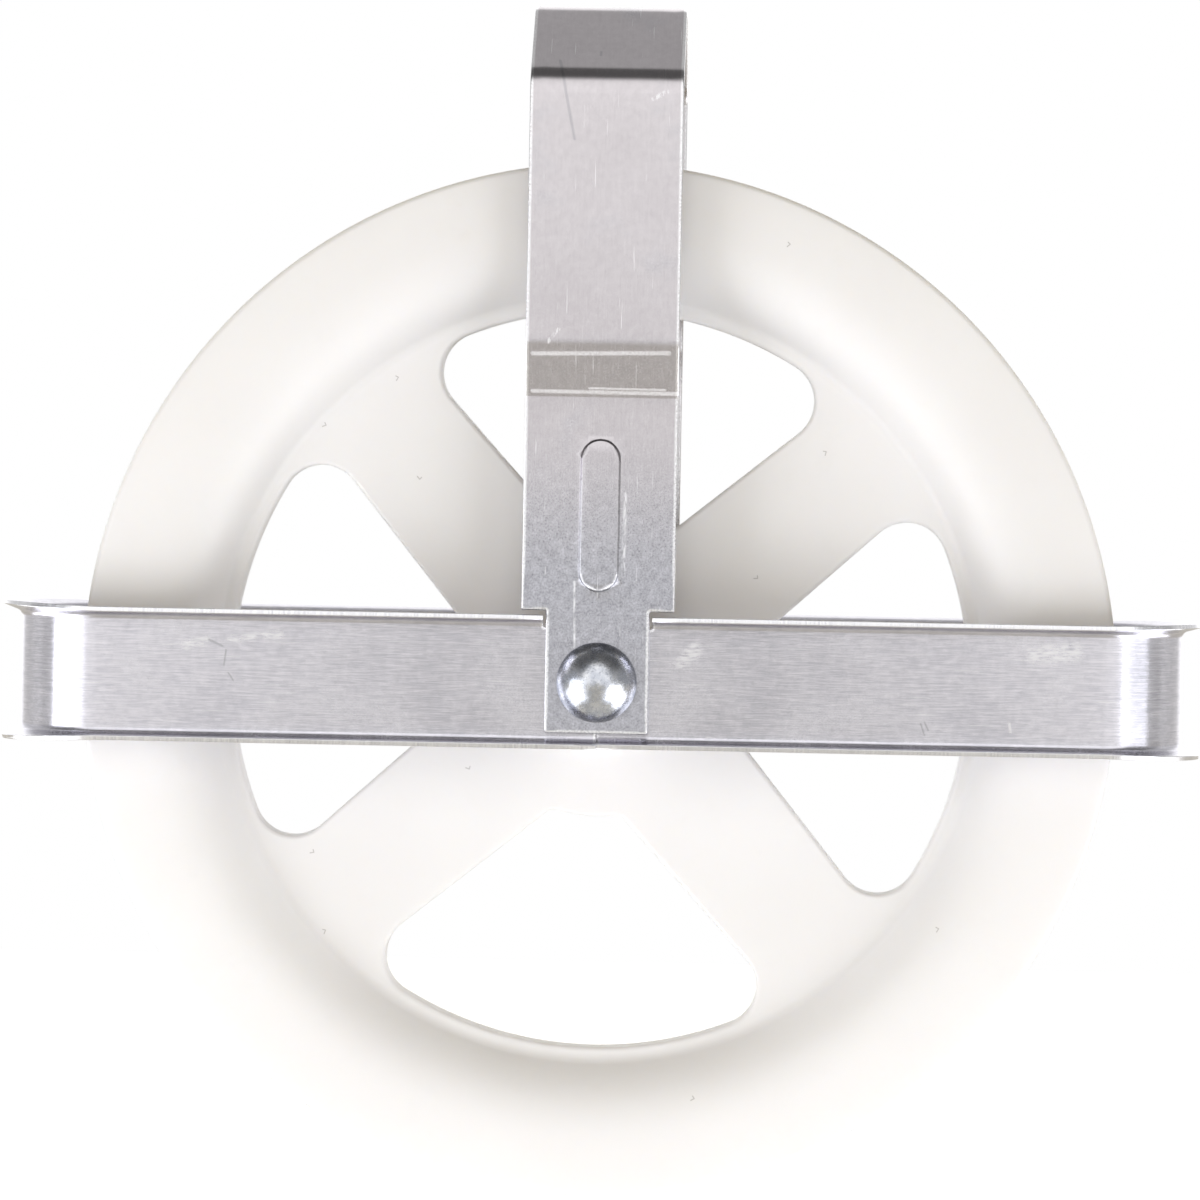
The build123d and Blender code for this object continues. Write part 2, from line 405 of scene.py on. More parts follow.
def web_face(points, faces, rim, hub, windows, back):
    loops = [rim, hub, *windows]
    outlines = [[Vector((points[i][0], points[i][2])) for i in loop] for loop in loops]
    _, triangles, rings = triangulate(outlines, [], [])
    whole = {k: i for loop, ring in zip(loops, rings) for i, k in zip(loop, ring)}
    for tri in triangles:
        corners = [whole[k] for k in tri]
        faces.append(tuple(corners[::-1] if back else corners))


# Sheet metal: a flat blank, cut with its holes, then bent along a path
class Path:
    """Straight runs joined by arcs, read by the length along it."""

    def __init__(self, corners, radii):
        points = [Vector(c) for c in corners]
        self.runs = []
        start = points[0]
        for before, here, after, radius in zip(points, points[1:], points[2:], radii):
            back, ahead = (before - here).normalized(), (after - here).normalized()
            between = back.angle(ahead)
            touch = here + back * (radius / tan(between / 2))
            centre = here + (back + ahead).normalized() * (radius / sin(between / 2))
            turn = pi - between
            if back.x * ahead.y - back.y * ahead.x > 0:
                turn = -turn
            self.runs.append(((touch - start).length, start, (touch - start).normalized(), None, 0))
            self.runs.append((radius * abs(turn), touch, -back, centre, turn))
            start = here + ahead * (radius / tan(between / 2))
        self.runs.append(((points[-1] - start).length, start, (points[-1] - start).normalized(), None, 0))
        self.length = sum(run[0] for run in self.runs)
        self.joints = [sum(run[0] for run in self.runs[:k]) for k in range(len(self.runs) + 1)]

    def at(self, u):
        """Point and direction at length u."""
        for length, start, heading, centre, turn in self.runs:
            if u <= length or (length, start, heading, centre, turn) == self.runs[-1]:
                break
            u -= length
        if centre is None:
            return start + heading * u, heading
        spin = Matrix.Rotation(turn * u / length, 2)
        return centre + spin @ (start - centre), spin @ heading


def spread(stops, step):
    """Values from the first stop to the last, through every stop, at most step apart."""
    values = [stops[0]]
    for a, b in zip(stops, stops[1:]):
        count = max(1, round((b - a) / step))
        values += [a + (b - a) * k / count for k in range(1, count + 1)]
    return values


def cut_along(loop, rows, cols):
    """The loop with points added where it crosses the grid."""
    cut = []
    for a, b in zip(loop, loop[1:] + loop[:1]):
        shares = {0.0}
        for axis, lines in ((0, rows), (1, cols)):
            run = b[axis] - a[axis]
            if abs(run) > 0.5:
                crossings = {round((line - a[axis]) / run, 6) for line in lines}
                shares |= {s for s in crossings if 0.02 < s < 0.98}
        cut += [a.lerp(b, s) for s in sorted(shares)]
    return cut


def inset(loop, distance):
    """The loop moved to its left by distance."""
    moved = []
    for before, here, after in zip(loop[-1:] + loop[:-1], loop, loop[1:] + loop[:1]):
        d0, d1 = (here - before).normalized(), (after - here).normalized()
        n0, n1 = Vector((-d0.y, d0.x)), Vector((-d1.y, d1.x))
        moved.append(here + (n0 + n1) * (distance / (1 + n0.dot(n1))))
    return moved


def clockwise_circle(u, radius, count=40):
    angles = [2 * pi * k / count for k in range(count)]
    return [Vector((u + radius * cos(a), radius * sin(a))) for a in angles[::-1]]


def sheet_mesh(name, outline, holes, extra, rows, cols, place, thickness, edge, flip):
    """A bent sheet. outline runs anticlockwise and holes clockwise, in (u, v)."""
    loops = [cut_along(outline, rows, cols)] + holes
    top = thickness / 2
    rim = []
    for k in range(5):
        a = radians(22.5 * k)
        rim.append((edge * (1 - sin(a)), top - edge * (1 - cos(a))))
    rim += [(s, -h) for s, h in rim[::-1]]
    face_loops = [inset(loop, edge) for loop in loops]
    wear_loops = [inset(loop, edge + 0.5) for loop in loops]
    fixed = [p for loop in face_loops + wear_loops + extra for p in loop]
    dots = []
    for u in rows:
        near = [p for p in fixed if abs(p.x - u) < 0.35]
        for v in cols:
            p = Vector((u, v))
            if inside(p, wear_loops[0]) and not any(inside(p, h) for h in wear_loops[1:]):
                if all((p - q).length > 0.3 for q in near):
                    dots.append(p)
    made, triangles, rings = triangulate(face_loops, wear_loops + extra, dots)
    on_rim = {k for ring_ids in rings for k in ring_ids}
    count = len(made)
    points, uvs, wear = [], [], []
    for height in (top, -top):
        for k, p in enumerate(made):
            points.append(place(p.x, p.y, height))
            uvs.append((p.x, p.y))
            wear.append(1.0 if k in on_rim else 0.0)
    faces = []
    for tri in triangles:
        faces.append(tri)
        faces.append(tuple(i + count for i in reversed(tri)))
    for loop, ring_ids in zip(loops, rings):
        strips = [ring_ids]
        for s, h in rim[1:-1]:
            first = len(points)
            for p in inset(loop, s):
                points.append(place(p.x, p.y, h))
                uvs.append((p.x, p.y))
                wear.append(1.0)
            strips.append(list(range(first, first + len(loop))))
        strips.append([i + count for i in ring_ids])
        for a, b in zip(strips, strips[1:]):
            bridge(faces, b, a)
    if flip:
        faces = [tuple(reversed(f)) for f in faces]
    mesh = new_mesh(name, points, faces)
    layer = mesh.uv_layers.new(name="Grain")
    for corner in mesh.loops:
        u, v = uvs[corner.vertex_index]
        layer.data[corner.index].uv = (u / 100, v / 100)
    mesh.attributes.new("edge", "FLOAT", "POINT").data.foreach_set("value", wear)
    return mesh


def make_guard(name, node, side, web_inner, height, end_splay, material):
    fold_mid = GUARD_FOLD_BEND + GUARD_SHEET / 2
    fold_outer = GUARD_FOLD_BEND + GUARD_SHEET
    lip_run = GUARD_LIP + GUARD_SHEET

    def setback(splay):
        return fold_outer * tan(radians((90 - splay) / 2))

    flat_half = height / 2 - setback(GUARD_LEG_SPLAY) - lip_run * sin(radians(GUARD_LEG_SPLAY))
    fold_run = fold_mid * radians(90 - GUARD_LEG_SPLAY)
    lip_flat = lip_run - setback(GUARD_LEG_SPLAY)
    full_half = flat_half + fold_run + lip_flat
    mid = web_inner + GUARD_SHEET / 2
    end = GUARD_REACH - web_inner + mid
    path = Path([(-TONGUE_LENGTH, -mid), (end, -mid), (end, mid), (-TONGUE_LENGTH, mid)], [mid, mid])
    bend_start, bend_end = path.joints[1], path.joints[4]

    def place(u, v, h):
        at, heading = path.at(u)
        out = Vector((heading.y, -heading.x))
        splay = GUARD_LEG_SPLAY
        if bend_start < u < bend_end:
            splay += (end_splay - GUARD_LEG_SPLAY) * sin(pi * (u - bend_start) / (bend_end - bend_start))
        fold = radians(90 - splay)
        past = abs(v) - flat_half
        turn = fold * min(max(past / fold_run, 0), 1)
        off, up = fold_mid * (1 - cos(turn)), min(abs(v), flat_half) + fold_mid * sin(turn)
        if past > fold_run:
            run = (past - fold_run) / lip_flat * (lip_run - setback(splay))
            off += run * sin(turn)
            up += run * cos(turn)
        off += h * cos(turn)
        up -= h * sin(turn)
        spot = at + out * off
        return (side * spot.x, spot.y, up if v > 0 else -up)

    total = path.length
    tip, notch = TONGUE_LENGTH, TONGUE_LENGTH + NOTCH_HALF
    corner = TONGUE_CORNER
    upper = [
        (total - notch, full_half, 0.0),
        (notch, full_half, 0.0),
        (notch, flat_half, 0.3),
        (tip, flat_half, 0.0),
        (tip, TONGUE_HALF, 0.1),
        (0, TONGUE_HALF, corner),
    ]
    lower = [
        (0, -TONGUE_HALF, corner),
        (tip, -TONGUE_HALF, 0.1),
        (tip, -full_half, 0.0),
        (total - tip, -full_half, 0.0),
        (total - tip, -TONGUE_HALF, 0.1),
        (total, -TONGUE_HALF, corner),
    ]
    last = [
        (total, TONGUE_HALF, corner),
        (total - tip, TONGUE_HALF, 0.1),
        (total - tip, flat_half, 0.0),
        (total - notch, flat_half, 0.3),
        (total - notch, full_half, 0.0),
    ]
    outline = rounded(upper + lower + last)[:-1]
    holes = [clockwise_circle(u, RIVET_HOLE_RADIUS) for u in (tip, total - tip)]
    rows = spread([0, tip, notch, bend_start], 2.6) + spread([bend_start, bend_end], mid * radians(4))[1:]
    rows += spread([bend_end, total - notch, total - tip, total], 2.6)[1:]
    fold_end = flat_half + fold_run
    cols = spread([-full_half, -fold_end], 0.75)[:-1] + spread([-fold_end, -flat_half], 0.3)[:-1]
    cols += spread([-flat_half, 0, flat_half], 1.8)
    cols += spread([flat_half, fold_end], 0.3)[1:] + spread([fold_end, full_half], 0.75)[1:]
    mesh = sheet_mesh(name, outline, holes, [], rows, cols, place, GUARD_SHEET, GUARD_EDGE_ROUND, side < 0)
    return link(name, mesh, material, "frame", node)


def make_hanger(material):
    tab_mid = TAB_OUTER - HANGER_SHEET / 2
    leg_mid = tab_mid + JOG_OFFSET
    leg = [
        (-tab_mid, TAB_FOOT),
        (-tab_mid, JOG_START_HEIGHT),
        (-leg_mid, JOG_END_HEIGHT),
        (-leg_mid, GABLE_FOOT_HEIGHT),
    ]
    corners = leg + [(0, GABLE_PEAK_HEIGHT)] + [(-y, z) for y, z in leg[::-1]]
    path = Path(corners, [*LEG_BENDS, GABLE_PEAK_BEND, *LEG_BENDS[::-1]])
    total = path.length
    bead_reach = (BEAD_LENGTH - BEAD_WIDTH) / 2
    beads = [BEAD_CENTRE_HEIGHT - TAB_FOOT, total - BEAD_CENTRE_HEIGHT + TAB_FOOT]

    def press(u, v):
        raised = 0.0
        for middle in beads:
            away = Vector((max(abs(u - middle) - bead_reach, 0), v)).length
            share = min(max((BEAD_WIDTH / 2 - away) / BEAD_RAMP, 0), 1)
            raised += BEAD_HEIGHT * share * share * (3 - 2 * share)
        return raised

    def place(u, v, h):
        at, heading = path.at(u)
        spot = at + Vector((-heading.y, heading.x)) * (h + press(u, v))
        return (v, spot.x, spot.y)

    shoulder = SHOULDER_HEIGHT - TAB_FOOT
    side = [
        (0, -TAB_HALF_WIDTH, 0.5),
        (shoulder, -TAB_HALF_WIDTH, 0.25),
        (shoulder, -HANGER_HALF_WIDTH, 0.35),
        (total - shoulder, -HANGER_HALF_WIDTH, 0.35),
        (total - shoulder, -TAB_HALF_WIDTH, 0.25),
        (total, -TAB_HALF_WIDTH, 0.5),
    ]
    ring_back = [(u, -v, r) for u, v, r in side[::-1]]
    outline = rounded([(0, 0, 0)] + side + ring_back + [(0, 0, 0)])[:-1]
    holes = [clockwise_circle(u, RIVET_HOLE_RADIUS) for u in (-TAB_FOOT, total + TAB_FOOT)]
    bead_loops = []
    for middle in beads:
        for share in (0.0, 0.25, 0.5, 0.75, 1.0):
            radius = BEAD_WIDTH / 2 - BEAD_RAMP * share
            loop = []
            for end, first in ((1, -90), (-1, 90)):
                for k in range(19):
                    a = radians(first + 10 * k)
                    loop.append(Vector((middle + end * bead_reach + radius * cos(a), radius * sin(a))))
            bead_loops.append(loop)
    rows = [0.0]
    for k, (a, b) in enumerate(zip(path.joints, path.joints[1:])):
        step = 3.0 if k % 2 == 0 else max(0.4, (b - a) / 10)
        rows += spread([a, b], step)[1:]
    cols = spread([-HANGER_HALF_WIDTH, 0, HANGER_HALF_WIDTH], 2.0)
    size = (HANGER_SHEET, HANGER_EDGE_ROUND)
    mesh = sheet_mesh("hanger_strip", outline, holes, bead_loops, rows, cols, place, *size, True)
    return link("hanger_strip", mesh, material, "frame", "hanger")


def make_rivet(material):
    rise = RIVET_HEAD_HEIGHT - RIVET_HEAD_LAND
    dome_radius = (RIVET_HEAD_RADIUS**2 + rise**2) / (2 * rise)
    dome_turn = asin(RIVET_HEAD_RADIUS / dome_radius)
    tip = -TAB_OUTER - RIVET_HEAD_HEIGHT
    profile = []
    for k in range(1, 30):
        a = dome_turn * k / 30
        profile.append((dome_radius * sin(a), tip + dome_radius * (1 - cos(a))))
    edge = rounded(
        [
            (*profile[-1], 0),
            (RIVET_HEAD_RADIUS, -TAB_OUTER - RIVET_HEAD_LAND, 0.3),
            (RIVET_HEAD_RADIUS, -TAB_OUTER, 0.12),
            (RIVET_RADIUS, -TAB_OUTER, 0),
            (RIVET_RADIUS, TAB_OUTER, 0),
            (CLINCH_RADIUS, TAB_OUTER, 0.5),
            (CLINCH_RADIUS, TAB_OUTER + CLINCH_HEIGHT, 1.2),
            (CLINCH_BORE_RADIUS, TAB_OUTER + CLINCH_HEIGHT, 1.2),
            (CLINCH_BORE_RADIUS, TAB_OUTER + CLINCH_HEIGHT - CLINCH_BORE_DEPTH, 0.5),
            (0.6, TAB_OUTER + CLINCH_HEIGHT - CLINCH_BORE_DEPTH, 0),
        ]
    )
    profile += [(p.x, p.y) for p in edge[1:]]
    points, faces = [], []
    first, last = lathe(points, faces, profile)
    for loop, across in ((first, tip), (last, TAB_OUTER + CLINCH_HEIGHT - CLINCH_BORE_DEPTH)):
        pole = len(points)
        points.append((0, across, 0))
        for k in range(TURNS):
            a, b = loop[k], loop[(k + 1) % TURNS]
            faces.append((pole, a, b) if loop is first else (pole, b, a))
    mesh = new_mesh("rivet_body", points, faces)
    return link("rivet_body", mesh, material, "frame", "axle_rivet")


# Node graphs
class Graph:
    """Nodes of a material or the world. Any argument may be a value or a node's output."""

    def __init__(self, tree):
        self.tree = tree
        tree.nodes.clear()

    def add(self, kind, **settings):
        node = self.tree.nodes.new(kind)
        for key, value in settings.items():
            setattr(node, key, value)
        return node

    def feed(self, socket, value):
        if isinstance(value, bpy.types.NodeSocket):
            self.tree.links.new(value, socket)
        elif value is not None:
            socket.default_value = value

    def math(self, operation, a, b=None, c=None):
        node = self.add("ShaderNodeMath", operation=operation)
        for socket, value in zip(node.inputs, (a, b, c)):
            self.feed(socket, value)
        return node.outputs[0]

    def vector(self, operation, a, b=None, scale=None):
        node = self.add("ShaderNodeVectorMath", operation=operation)
        for socket, value in zip(node.inputs, (a, b, None, scale)):
            self.feed(socket, value)
        gives_number = operation in ("DOT_PRODUCT", "LENGTH", "DISTANCE")
        return node.outputs["Value" if gives_number else "Vector"]

    def mapped(self, vector, scale=(1, 1, 1), turn=0.0):
        node = self.add("ShaderNodeMapping")
        self.feed(node.inputs["Vector"], vector)
        node.inputs["Rotation"].default_value = (0, 0, radians(turn))
        node.inputs["Scale"].default_value = scale
        return node.outputs[0]

    def noise(self, vector, scale, detail=2.0, roughness=0.5):
        node = self.add("ShaderNodeTexNoise")
        self.feed(node.inputs["Vector"], vector)
        for key, value in (("Scale", scale), ("Detail", detail), ("Roughness", roughness)):
            node.inputs[key].default_value = value
        return node.outputs[0]

    def remap(self, value, low, high, to_low=0.0, to_high=1.0, smooth=True):
        node = self.add("ShaderNodeMapRange", interpolation_type="SMOOTHSTEP" if smooth else "LINEAR")
        for socket, part in zip(node.inputs, (value, low, high, to_low, to_high)):
            self.feed(socket, part)
        return node.outputs[0]

    def mix(self, share, a, b, blend="MIX"):
        node = self.add("ShaderNodeMix", data_type="RGBA", blend_type=blend)
        for socket, value in ((node.inputs[0], share), (node.inputs[6], a), (node.inputs[7], b)):
            self.feed(socket, (*value, 1.0) if isinstance(value, tuple) and len(value) == 3 else value)
        return node.outputs[2]

    def bump(self, height, distance, strength=1.0, normal=None):
        """distance is in millimetres."""
        node = self.add("ShaderNodeBump")
        self.feed(node.inputs["Height"], height)
        self.feed(node.inputs["Distance"], distance * MM)
        self.feed(node.inputs["Strength"], strength)
        self.feed(node.inputs["Normal"], normal)
        return node.outputs[0]

    def stroke(self, point, start, end, width):
        """1 on the straight stroke from start to end, fading to 0 at width from it."""
        start, end = Vector((*start, 0)), Vector((*end, 0))
        run = end - start
        away = self.vector("SUBTRACT", point, tuple(start))
        along = self.math("DIVIDE", self.vector("DOT_PRODUCT", away, tuple(run)), run.length_squared)
        along = self.math("MAXIMUM", self.math("MINIMUM", along, 1.0), 0.0)
        nearest = self.vector("SCALE", tuple(run), scale=along)
        gap = self.vector("DISTANCE", away, nearest)
        return self.remap(gap, width * 0.3, width, 1.0, 0.0)

    def most(self, values):
        total = values[0]
        for value in values[1:]:
            total = self.math("MAXIMUM", total, value)
        return total

    def sum(self, parts):
        """Adds up (value, factor) pairs."""
        total = 0.0
        for value, factor in parts:
            total = self.math("MULTIPLY_ADD", value, factor, total)
        return total


class Surface(Graph):
    """A material with one principled shader."""

    def __init__(self, name):
        self.material = bpy.data.materials.new(name)
        self.material.use_nodes = True
        super().__init__(self.material.node_tree)
        self.shader = self.add("ShaderNodeBsdfPrincipled")
        output = self.add("ShaderNodeOutputMaterial")
        self.tree.links.new(self.shader.outputs[0], output.inputs[0])
        self.place = self.vector("SCALE", self.add("ShaderNodeTexCoord").outputs["Object"], scale=1000.0)

    def set(self, **values):
        for key, value in values.items():
            name = key.replace("_", " ").title().replace("Ior", "IOR")
            self.feed(self.shader.inputs[name], value)


# Where the moulding is scuffed in front: place and heading of each hair-thin mark
SCUFF_WIDTH = 0.13
SCUFFS = (
    (-33.1, 47.9, 60),
    (-44.6, 40.0, 20),
    (-29.4, 31.6, -50),
    (35.7, 37.2, 75),
    (29.3, 70.0, 40),
    (-45.4, -28.7, 10),
    (-43.3, -41.2, 70),
    (-20.6, -14.8, -20),
    (55.0, -38.4, 60),
    (16.6, -66.3, 30),
    (25.1, 16.7, 0),
)


# Dark, light and speckled shades of the sheet metal
GUARD_SHADES = ((0.56, 0.555, 0.61), (0.76, 0.745, 0.795), (0.62, 0.615, 0.665))
HANGER_SHADES = ((0.51, 0.48, 0.495), (0.58, 0.55, 0.565), (0.37, 0.375, 0.41))


def plastic():
    g = Surface("white_plastic_moulded")
    cloud = g.remap(g.noise(g.place, 0.035, 3.0), 0.35, 0.7)
    grime = g.remap(g.noise(g.place, 0.16, 5.0, 0.65), 0.55, 0.8)
    colour = g.mix(cloud, (0.895, 0.883, 0.885), (0.915, 0.905, 0.907))
    colour = g.mix(g.math("MULTIPLY", grime, 0.04), colour, (0.55, 0.53, 0.49))
    parts = g.add("ShaderNodeSeparateXYZ")
    g.feed(parts.inputs[0], g.place)
    front = g.math("LESS_THAN", parts.outputs["Y"], 0.0)
    flat = g.add("ShaderNodeCombineXYZ")
    g.feed(flat.inputs[0], parts.outputs["X"])
    g.feed(flat.inputs[1], parts.outputs["Z"])
    marks = []
    for x, z, heading in SCUFFS:
        a, b = radians(heading), radians(heading + 95)
        middle = Vector((x, z))
        start, end = middle - 0.6 * Vector((cos(a), sin(a))), middle + 0.45 * Vector((cos(b), sin(b)))
        marks.append(g.stroke(flat.outputs[0], start, middle, SCUFF_WIDTH))
        marks.append(g.stroke(flat.outputs[0], middle, end, SCUFF_WIDTH))
    scuffed = g.math("MULTIPLY", g.most(marks), front)
    colour = g.mix(g.math("MULTIPLY", scuffed, 0.55), colour, (0.36, 0.34, 0.33))
    fine = g.noise(g.place, 1.6, 3.0, 0.6)
    g.set(
        base_color=colour,
        roughness=g.remap(fine, 0.3, 0.7, 0.38, 0.5, False),
        ior=1.5,
        subsurface_weight=0.3,
        subsurface_radius=(1.0, 0.92, 0.8),
        subsurface_scale=0.003,
    )
    normal = g.bump(g.noise(g.place, 0.09, 2.0), 0.12, 0.5)
    normal = g.bump(fine, 0.008, 0.6, normal)
    g.feed(g.shader.inputs["Normal"], normal)
    return g.material


def aluminium(name, dark, light, pitted, grain, grit, mottle, marks=(), rubs=(), creases=()):
    """Mill finish sheet with its rolling grain along u. mottle gives a speckled area's share
    from the surface's u. Marks are dark scratches; the bright ragged strokes are rubs, and on the
    hanger also one painted highlight beside a bead; the bright solid lines are painted highlights
    on bends and round a bead's end. Each is given as start, end and width in millimetres of u and v."""
    g = Surface(name)
    uv = g.vector("SCALE", g.add("ShaderNodeUVMap", uv_map="Grain").outputs[0], scale=100.0)
    fine = g.noise(g.mapped(uv, (0.25, 7.5, 1)), 1.0, 4.0, 0.65)
    streaks = g.noise(g.mapped(uv, (0.18, 3.2, 1)), 1.0, 4.0, 0.6)
    specks = g.noise(uv, 2.9, 4.0, 0.8)
    blotch = g.noise(uv, 0.75, 3.0, 0.6)
    cloud = g.noise(uv, 0.07, 3.0, 0.55)
    parts = g.add("ShaderNodeSeparateXYZ")
    g.feed(parts.inputs[0], uv)
    speckled = mottle(g, parts.outputs[0], cloud)
    shades = ((fine, grain), (streaks, grain * 0.9), (blotch, 0.25), (cloud, 0.35))
    tone = g.sum((*shades, (0.5, 0.4 - 1.9 * grain)))
    colour = g.mix(g.remap(tone, 0.32, 0.68), dark, light)
    colour = g.mix(g.math("MULTIPLY", speckled, 0.85), colour, pitted)
    speck = g.sum(((specks, 0.7), (blotch, 0.3), (1.0, -0.5)))
    speck = g.math("MULTIPLY", speck, g.remap(speckled, 0, 1, 0.15, grit))
    colour = g.vector("SCALE", colour, scale=g.math("ADD", speck, 1.0))
    edge = g.add("ShaderNodeAttribute", attribute_name="edge").outputs["Fac"]
    worn = g.math("MULTIPLY", g.remap(edge, 0.1, 0.7), g.remap(specks, 0.4, 0.6, 0.5, 1.0))
    colour = g.mix(g.math("MULTIPLY", worn, 0.85), colour, (0.9, 0.9, 0.91))
    lines = []
    for turn, reach, least in ((4, 0.06, 0.705), (-38, 0.07, 0.73), (72, 0.1, 0.74)):
        band = g.noise(g.mapped(uv, (reach, 2.6, 1), turn), 1.0, 2.0, 0.5)
        lines.append(g.remap(band, least, least + 0.03))
    ragged = g.remap(g.noise(g.mapped(uv, (0.5, 2.2, 1)), 1.0, 3.0, 0.6), 0.38, 0.6)
    rub_and_highlight_strokes = [g.math("MULTIPLY", g.stroke(uv, start, end, width), ragged) for start, end, width in rubs]
    solid = g.remap(specks, 0.35, 0.6, 0.55, 1.0)
    # The bright solid lines are painted highlights, where bends and a bead's end catch the light
    rub_and_highlight_strokes += [g.math("MULTIPLY", g.stroke(uv, start, end, width), solid) for start, end, width in creases]
    # Scratches, rubs and painted highlights all lighten the colour and roughen the surface
    scratches_and_highlights = g.most(lines + rub_and_highlight_strokes)
    colour = g.mix(g.math("MULTIPLY", scratches_and_highlights, 0.55), colour, (0.93, 0.93, 0.94))
    dents = g.most([g.stroke(uv, start, end, width) for start, end, width in marks] or [0.0])
    pits = g.math("MULTIPLY", g.remap(specks, 0.66, 0.74), g.remap(speckled, 0, 1, 0.25, 1.0))
    colour = g.mix(g.math("MULTIPLY", g.math("MAXIMUM", dents, pits), 0.45), colour, (0.33, 0.33, 0.35))
    rough = g.sum(((fine, 0.1), (specks, 0.12), (speckled, 0.06), (scratches_and_highlights, 0.1), (1.0, 0.13)))
    g.set(base_color=colour, metallic=1.0, roughness=rough, anisotropic=0.8, anisotropic_rotation=0.25)
    tangent = g.add("ShaderNodeTangent", direction_type="UV_MAP", uv_map="Grain")
    g.feed(g.shader.inputs["Tangent"], tangent.outputs[0])
    normal = g.bump(cloud, 0.06, 0.6)
    normal = g.bump(fine, 0.006 * grain, 0.7, normal)
    normal = g.bump(specks, 0.007, g.remap(speckled, 0, 1, 0.1, 0.6), normal)
    g.feed(g.shader.inputs["Normal"], normal)
    return g.material


def patches(g, u, cloud):
    """The guards are lightly speckled in soft patches."""
    return g.remap(cloud, 0.42, 0.68, 0.0, 0.4)


def pressed_zones(g, u, cloud):
    """The hanger is speckled on its tabs, by the beads and on the jogs, as the press left it."""
    from_peak = g.math("ABSOLUTE", g.math("SUBTRACT", u, HANGER_PEAK_RUN))
    from_foot = g.math("SUBTRACT", HANGER_PEAK_RUN, from_peak)
    below = g.remap(from_foot, 22.0, 52.0, 1.0, 0.0)
    jog = g.math("MULTIPLY", g.remap(from_foot, 53.0, 53.6), g.remap(from_foot, 60.5, 64.0, 0.3, 0.0))
    return g.math("MAXIMUM", g.math("MAXIMUM", below, jog), g.remap(cloud, 0.55, 0.75, 0.0, 0.4))


def rivet_plate():
    g = Surface("rivet_zinc_plate")
    cloud = g.noise(g.place, 0.5, 3.0)
    pits = g.noise(g.place, 2.6, 4.0, 0.65)
    colour = g.mix(g.remap(cloud, 0.35, 0.65), (0.47, 0.49, 0.54), (0.66, 0.67, 0.7))
    colour = g.mix(g.remap(pits, 0.52, 0.66, 0.0, 0.6), colour, (0.27, 0.29, 0.34))
    g.set(base_color=colour, metallic=1.0, roughness=g.remap(pits, 0.35, 0.7, 0.18, 0.34, False))
    normal = g.bump(cloud, 0.05, 0.6)
    normal = g.bump(pits, 0.02, 0.7, normal)
    g.feed(g.shader.inputs["Normal"], normal)
    return g.material


def sleeve_steel():
    g = Surface("sleeve_drawn_steel")
    drawn = g.noise(g.mapped(g.place, (2.5, 0.08, 2.5)), 1.0, 3.0)
    colour = g.mix(g.remap(drawn, 0.3, 0.7), (0.48, 0.48, 0.5), (0.64, 0.64, 0.66))
    g.set(base_color=colour, metallic=1.0, roughness=g.remap(drawn, 0.3, 0.7, 0.3, 0.5, False))
    g.feed(g.shader.inputs["Normal"], g.bump(drawn, 0.01, 0.5))
    return g.material


# Camera, at the photograph's place: angles in degrees, and what it looks at
CAMERA_AZIMUTH = 1.85
CAMERA_ELEVATION = 1.45
CAMERA_ROLL = 1.05
CAMERA_AWAY = 0.9
CAMERA_TARGET = (-0.00018, 0, 0.0127)
CAMERA_LENS = 167.8
SENSOR_WIDTH = 36

# Light. Metal sees a studio that has a white card in front of the pulley with the camera's
# stand before it, grey beside it, dark above, and behind it white paper and a ceiling
WORLD_DIFFUSE = (0.39, 0.35, 0.265)
WORLD_CARD = 1.42
WORLD_STAND = 0.0
WORLD_BESIDE = 0.45
WORLD_ABOVE = 0.13
WORLD_BEHIND = 0.72
WORLD_CEILING = 0.56
FLOOR_HEIGHT = -1.4
FLOOR_SIZE = 30
FLOOR_WHITE = 0.8
FLOOR_IN_METAL = 0.3
LAMP_COLOUR = (0.915, 0.94, 1.0)

# Lamps stand 1 m away and face the wheel. Each has a name, an azimuth and elevation as seen
# from the wheel, a size, a power, and whether metal shows it
LAMPS = (
    ("key_left", -55, -20, (0.5, 0.9), 4.1, True),
    ("key_left_wide", -50, -20, (0.85, 0.9), 2.2, True),
    ("key_right", 50, -26, (0.7, 0.7), 5.4, True),
    ("fill_front", 0, 25, (0.6, 0.6), 1.7, False),
    ("side_left", -95, -33, (0.8, 0.6), 4.0, True),
    ("side_right", 93, -38, (0.7, 0.6), 4.0, True),
)


def make_camera():
    azimuth, elevation, roll = radians(CAMERA_AZIMUTH), radians(CAMERA_ELEVATION), radians(CAMERA_ROLL)
    place = Vector(CAMERA_TARGET)
    back = Vector((sin(azimuth) * cos(elevation), -cos(azimuth) * cos(elevation), sin(elevation)))
    level = Vector((0, 0, 1)).cross(back).normalized()
    upright = back.cross(level)
    across = level * cos(roll) + upright * sin(roll)
    up = upright * cos(roll) - level * sin(roll)
    data = bpy.data.cameras.new("camera")
    data.lens = CAMERA_LENS
    data.sensor_width = SENSOR_WIDTH
    data.clip_start, data.clip_end = 0.01, 50
    camera = bpy.data.objects.new("camera", data)
    bpy.context.scene.collection.objects.link(camera)
    place += back * CAMERA_AWAY
    camera.matrix_world = Matrix.Translation(place) @ Matrix((across, up, back)).transposed().to_4x4()
    bpy.context.scene.camera = camera


def lamp(name, azimuth, elevation, size, power, shows):
    data = bpy.data.lights.new(name, "AREA")
    data.shape = "RECTANGLE"
    data.size, data.size_y = size
    data.energy = power
    data.color = LAMP_COLOUR
    light = bpy.data.objects.new(name, data)
    bpy.context.scene.collection.objects.link(light)
    place = Vector((sin(azimuth) * cos(elevation), -cos(azimuth) * cos(elevation), sin(elevation)))
    light.location = place
    light.rotation_euler = (-place).to_track_quat("-Z", "Y").to_euler()
    light.visible_glossy = shows


